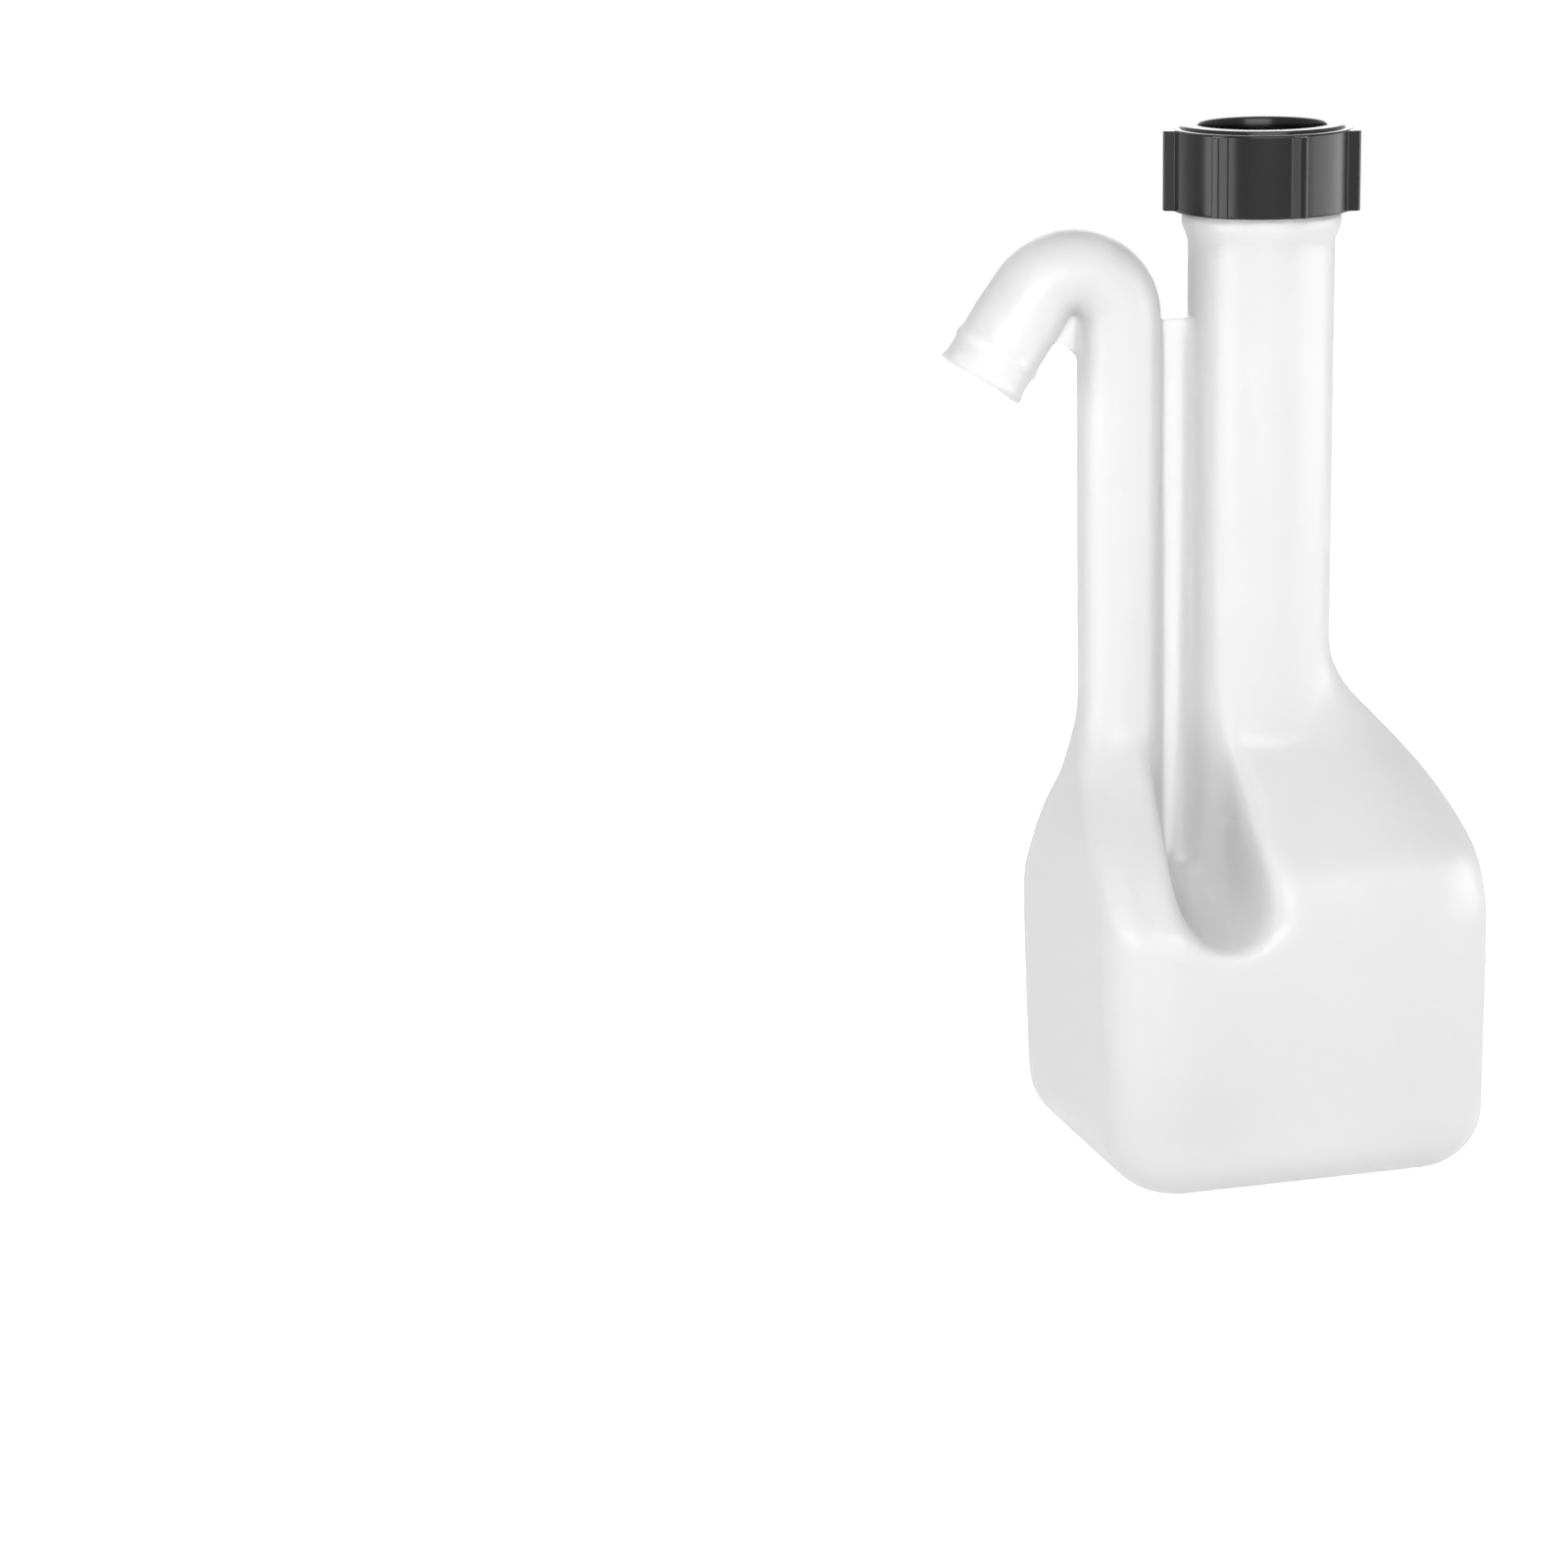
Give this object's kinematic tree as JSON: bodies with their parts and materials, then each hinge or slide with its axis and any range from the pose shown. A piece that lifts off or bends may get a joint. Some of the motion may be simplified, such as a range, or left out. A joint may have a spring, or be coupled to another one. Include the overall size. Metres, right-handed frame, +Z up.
{
  "type": "condensate trap",
  "caption": "Condensate trap: translucent blow-moulded bottle, upright inlet neck under a black ribbed compression nut, and a slim outlet leg that turns over in a swan neck.",
  "frame": {"origin": "centre of the flat underside, below the inlet neck's axis", "axes": "+Z up along the inlet neck's axis, +X along the wide front face with the outlet leg on the -X side, +Y from the front face to the back"},
  "size_m": [0.1631, 0.114, 0.3223],
  "materials": {
    "natural_polyethylene": "natural translucent, satin",
    "black_nut_plastic": "moulded, semi-gloss",
    "black_rubber": "smooth matte"
  },
  "bodies": {
    "trap": {"trap_body": "natural_polyethylene"},
    "seal": {"sealing_ring": "black_rubber"},
    "nut": {"compression_nut": "black_nut_plastic"}
  },
  "joints": [
    {"name": "nut_lift", "type": "slide", "parent": "trap", "child": "seal", "axis": [0, 0, 1], "range_m": [0, 0.0104]},
    {"name": "nut_turn", "type": "hinge", "parent": "seal", "child": "nut", "pos_m": [0, 0, 0.31], "axis": [0, 0, 1], "range_deg": [0, 1620]}
  ],
  "couplings": [
    {"joint": "nut_lift", "follows": "nut_turn", "m_per_rad": 0.00036749}
  ]
}
